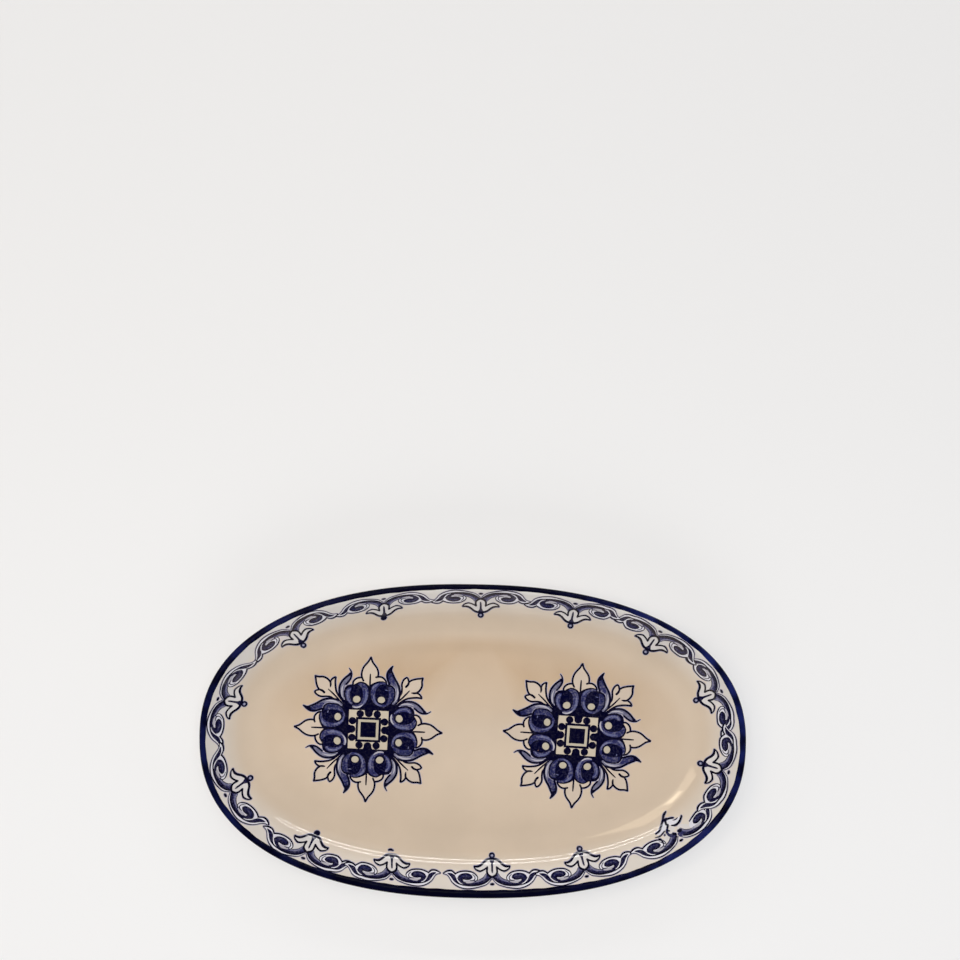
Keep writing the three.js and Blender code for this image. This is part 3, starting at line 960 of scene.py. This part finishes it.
def loft(name, rings, look, closed=False):
    """A solid carried round the oval, through rings of given insets and heights. A row of rings that isn't
    closed ends on the axis."""
    points = []
    for inset, height in rings:
        across = np.broadcast_to(inset, LOFT_STATIONS)[:, None]
        level = np.broadcast_to(height, LOFT_STATIONS)
        points.append(np.column_stack([loft_edge - loft_normal * across, level]))
    faces = []
    pairs = range(len(rings) if closed else len(rings) - 1)
    station = np.arange(LOFT_STATIONS)
    after = np.roll(station, -1)
    for i in pairs:
        low, high = i * LOFT_STATIONS, (i + 1) % len(rings) * LOFT_STATIONS
        faces.extend(np.column_stack([low + station, low + after, high + after, high + station]).tolist())
    if not closed:
        for ring in (0, len(rings) - 1):
            centre = sum(len(block) for block in points)
            points.append([[0, 0, rings[ring][1]]])
            base = ring * LOFT_STATIONS
            fan = [[base + int(b), base + int(a), centre] for a, b in zip(station, after)]
            faces.extend(fan if ring == 0 else [corners[::-1] for corners in fan])
    mesh = mesh_of(name, np.concatenate(points), faces, look)
    mesh.set_sharp_from_angle(angle=CREASE)
    return mesh


def arc(centre, radius, start, end, steps):
    """Insets and heights along an arc of the section. Angles in degrees from outward, upward positive."""
    angles = np.radians(np.linspace(start, end, steps + 1))
    return [(centre[0] - radius * math.cos(a), centre[1] + radius * math.sin(a)) for a in angles]


# Steps of the section's round stretches
FILLET_STEPS = 6
FOOT_EDGE_STEPS = 4
HEEL_STEPS = 18
LIP_STEPS = 12
BAND_STEPS = 8
COVE_STEPS = 12
lip_centre = (LIP_RADIUS, lip_level)
heel_centre = (heel_inset, UNDERSIDE + HEEL_RADIUS)
slope_angle = math.degrees(WALL_SLOPE)
inner_root = (foot_inner + FOOT_FILLET, UNDERSIDE + GLAZE - FOOT_FILLET)
outer_root = (foot_outer - FOOT_FILLET, UNDERSIDE + GLAZE - FOOT_FILLET)


def recess_rings(raised):
    """The underside inside the foot ring, with the glaze or without."""
    radius = FOOT_FILLET - raised
    return arc(inner_root, radius, 90, 0, FILLET_STEPS) + [(foot_inner + raised, BARE_FOOT)]


def back_rings(raised):
    """The back from the foot ring to the cobalt band, with the glaze or without."""
    radius = HEEL_RADIUS - GLAZE + raised
    wall = arc(lip_centre, LIP_RADIUS - GLAZE + raised, slope_angle - 90, slope_angle - 90, 0)[0]
    band_end = (wall[0] + BAND_DROP * wall_cosine, wall[1] - BAND_DROP * wall_sine)
    return [(foot_outer - raised, BARE_FOOT), *arc(outer_root, FOOT_FILLET - raised, 180, 90, FILLET_STEPS),
            *arc(heel_centre, radius, -90, slope_angle - 90, HEEL_STEPS), band_end]


def lip_rings(raised):
    """The lip from the lower edge of the band over to its inner edge, with the glaze or without."""
    outer = arc(lip_centre, LIP_RADIUS - GLAZE + raised, slope_angle - 90, 90, LIP_STEPS)
    inner = []
    end = band_inset(loft_way)
    for share in np.linspace(0, 1, BAND_STEPS)[1:]:
        inset = LIP_RADIUS + (end - LIP_RADIUS) * share
        inner.append((inset, face_height(inset)[0]) if raised else on_clay(inset))
    return [back_rings(raised)[-1], *outer, *inner]


def clay_rings():
    foot = arc((foot_inner - FOOT_EDGE, FOOT_EDGE), FOOT_EDGE, 180, 270, FOOT_EDGE_STEPS)
    foot += arc((foot_outer + FOOT_EDGE, FOOT_EDGE), FOOT_EDGE, -90, 0, FOOT_EDGE_STEPS)
    lip = arc(lip_centre, LIP_RADIUS - GLAZE, slope_angle - 90, slope_angle + 90, LIP_STEPS)
    cove = [on_clay(inset) for inset in np.linspace(cove_outer, floor_inset, COVE_STEPS)]
    return recess_rings(0) + foot + back_rings(0) + lip + cove


def coat(stretch):
    """A coat of glaze over a stretch of the section: out along its surface and back along the clay."""
    return stretch(GLAZE) + stretch(0)[::-1]


cream_glaze = glaze("cream_glaze", plain_cream)
cobalt_glaze = glaze("cobalt_glaze", brushed_cobalt_and_sheen, 0.16, 0.05)
painted_face()
for name, rings, closed, look, slot, node in (
    ("clay_body.piece", clay_rings(), False, biscuit(), "fired_clay", "clay_body"),
    ("cobalt_lip", coat(lip_rings), True, cobalt_glaze, "cobalt_glaze", "lip_band"),
    ("cream_back", coat(back_rings), True, cream_glaze, "cream_glaze", "back_glaze"),
    ("cream_recess", coat(recess_rings), False, cream_glaze, "cream_glaze", "recess_glaze"),
):
    new_piece(name, loft(name, rings, look, closed), node)


# Floor, pale of itself where the camera sees it, so that it stays the even ground of a product photograph.
# It is a little darker beyond the dish, a painted shade, and far off it runs into the pale room.
FLOOR_SIDE = 8.0
FLOOR_GLOW = 0.6
# Stretches in metres: across the dish, where it darkens, and out from the middle, where it runs into the room
DARKENING = -0.16, 0.5
FAR_OFF = 0.8, 2.2
NEAR_TONE = (*linear(240, 241, 243), 1)
SHADED_BEYOND_TONE = (*linear(220, 221, 223), 1)
PALE_ROOM = (*linear(236, 236, 237), 1)


def floor_material():
    made, nodes, shader, where = new_material("floor")
    shader.inputs["Base Color"].default_value = (0.84, 0.84, 0.845, 1)
    shader.inputs["Roughness"].default_value = 0.9
    shader.inputs["Specular IOR Level"].default_value = 0.1
    seen = nodes.add("ShaderNodeLightPath").outputs["Is Camera Ray"]
    across = nodes.add("ShaderNodeSeparateXYZ", (0, where)).outputs["Y"]
    away = nodes.add("ShaderNodeVectorMath", (0, where), operation="LENGTH").outputs["Value"]
    # Painted shade: the floor's tone darkens across the dish towards +Y
    ground = nodes.mix(nodes.ramp(across, *DARKENING), NEAR_TONE, SHADED_BEYOND_TONE)
    ground = nodes.mix(nodes.ramp(away, *FAR_OFF), ground, PALE_ROOM)
    glow = nodes.add("ShaderNodeEmission", ("Color", ground), ("Strength", 1.0))
    share = nodes.math("MULTIPLY", seen, nodes.ramp(away, *FAR_OFF, FLOOR_GLOW, 1.0))
    mixed = nodes.add("ShaderNodeMixShader", (0, share), (1, shader.outputs[0]), (2, glow.outputs[0]))
    nodes.link(mixed.outputs[0], made.node_tree.nodes["Material Output"], "Surface")
    return made


half = FLOOR_SIDE / 2
floor_corners = [(-half, -half, 0), (half, -half, 0), (half, half, 0), (-half, half, 0)]
floor_mesh = bpy.data.meshes.new("floor")
floor_mesh.from_pydata(floor_corners, [], [(0, 1, 2, 3)])
floor_mesh.materials.append(floor_material())
floor = bpy.data.objects.new("floor", floor_mesh)
bpy.context.scene.collection.objects.link(floor)


# Light: a dim room that looks pale to the camera, a soft key from above and beyond the dish, faint panels
# round it, two thin strips that the cove mirrors as bright lines, and a warm lamp that its right-hand end
# mirrors
CENTRE = (0, 0, 0)
SOFT = (1, 0.99, 0.98)
WARM = (1, 0.82, 0.58)
KEY_PLACE = (0, 0.65, 2.2)
KEY_SIZE = (1.3, 1.3)
KEY_WATTS = 28.4
PANEL_AWAY = 1.6
PANEL_HEIGHT = 0.85
PANEL_SIZE = (1.6, 0.7)
# Direction of each panel from the dish, and its watts
PANELS = {"left": (-1, 0, 3.7), "right": (1, 0, 3.7), "before": (0, -1, 14.8)}
STRIP_AWAY = 1.65
STRIP_LENGTH = 2.6
STRIP_AIM = 0.02
# Elevation of each strip over the dish in degrees, its width and its watts
STRIPS = {"high": (34.6, 0.026, 6.2), "low": (26.6, 0.024, 6.4)}
WARM_PLACE = (-0.545, 0.371, 1.3)
WARM_AIM = (0.106, -0.037, 0.012)
# Size and watts of the lamp's core and of the halo round it
WARM_LAMPS = {"core": ((0.2, 0.2), 1.3), "halo": ((0.9, 0.5), 4.4)}


def room():
    made = bpy.data.worlds.new("room")
    made.use_nodes = True
    nodes = Nodes(made.node_tree)
    direction = nodes.add("ShaderNodeSeparateXYZ", (0, nodes.add("ShaderNodeTexCoord").outputs["Generated"]))
    overhead = nodes.ramp(direction.outputs["Z"], 0.3, 0.8, 1.0, 0.2)
    beyond = nodes.ramp(direction.outputs["Y"], -0.2, 0.9, 0.03, 0.05)
    dim = made.node_tree.nodes["Background"]
    dim.inputs["Color"].default_value = (1, 1, 1, 1)
    nodes.link(nodes.math("MULTIPLY", overhead, beyond), dim, "Strength")
    pale = nodes.add("ShaderNodeBackground", ("Color", PALE_ROOM), ("Strength", 1.0))
    seen = nodes.add("ShaderNodeLightPath").outputs["Is Camera Ray"]
    mixed = nodes.add("ShaderNodeMixShader", (0, seen), (1, dim.outputs[0]), (2, pale.outputs[0]))
    nodes.link(mixed.outputs[0], made.node_tree.nodes["World Output"], "Surface")
    return made


def area_light(name, place, aim, size, watts, colour=(1, 1, 1), mirrored=True):
    lamp = bpy.data.lights.new(name, "AREA")
    lamp.shape = "RECTANGLE"
    lamp.size, lamp.size_y = size
    lamp.energy = watts
    lamp.color = colour
    made = bpy.data.objects.new(name, lamp)
    made.location = place
    made.rotation_euler = (Vector(aim) - Vector(place)).to_track_quat("-Z", "Y").to_euler()
    made.visible_glossy = mirrored
    bpy.context.scene.collection.objects.link(made)


bpy.context.scene.world = room()
area_light("overhead", KEY_PLACE, CENTRE, KEY_SIZE, KEY_WATTS, SOFT, mirrored=False)
for name, (side, ahead, watts) in PANELS.items():
    place = (side * PANEL_AWAY, ahead * PANEL_AWAY, PANEL_HEIGHT)
    area_light("panel_" + name, place, CENTRE, PANEL_SIZE, watts, SOFT, mirrored=False)
for name, (elevation, width, watts) in STRIPS.items():
    place = (0, STRIP_AWAY, STRIP_AIM + STRIP_AWAY * math.tan(math.radians(elevation)))
    area_light("strip_" + name, place, (0, 0, STRIP_AIM), (STRIP_LENGTH, width), watts)
for name, (size, watts) in WARM_LAMPS.items():
    area_light("warm_" + name, WARM_PLACE, WARM_AIM, size, watts, WARM)


# Camera, which looks down on the dish. Its tilt from upright and its roll are in radians.
LENS = 85
CAMERA_DISTANCE = 1.2502
CAMERA_TILT = 0.23747
CAMERA_AIM = (0.00144, 0.14543, HEIGHT * MM)
CAMERA_ROLL = 0.01777
camera_data = bpy.data.cameras.new("camera")
camera_data.lens = LENS
camera_data.clip_end = 50
camera = bpy.data.objects.new("camera", camera_data)
bpy.context.scene.collection.objects.link(camera)
eye = Vector((0, math.sin(CAMERA_TILT), math.cos(CAMERA_TILT))) * CAMERA_DISTANCE
eye.z += HEIGHT * MM
forward = (Vector(CAMERA_AIM) - eye).normalized()
right = forward.cross(Vector((0, 1, 0))).normalized()
above = right.cross(forward)
level_right = right * math.cos(CAMERA_ROLL) + above * math.sin(CAMERA_ROLL)
level_above = above * math.cos(CAMERA_ROLL) - right * math.sin(CAMERA_ROLL)
turn = Matrix((level_right, level_above, -forward)).transposed().to_4x4()
camera.matrix_world = Matrix.Translation(eye) @ turn
bpy.context.scene.camera = camera
bpy.context.scene.view_settings.view_transform = "Standard"
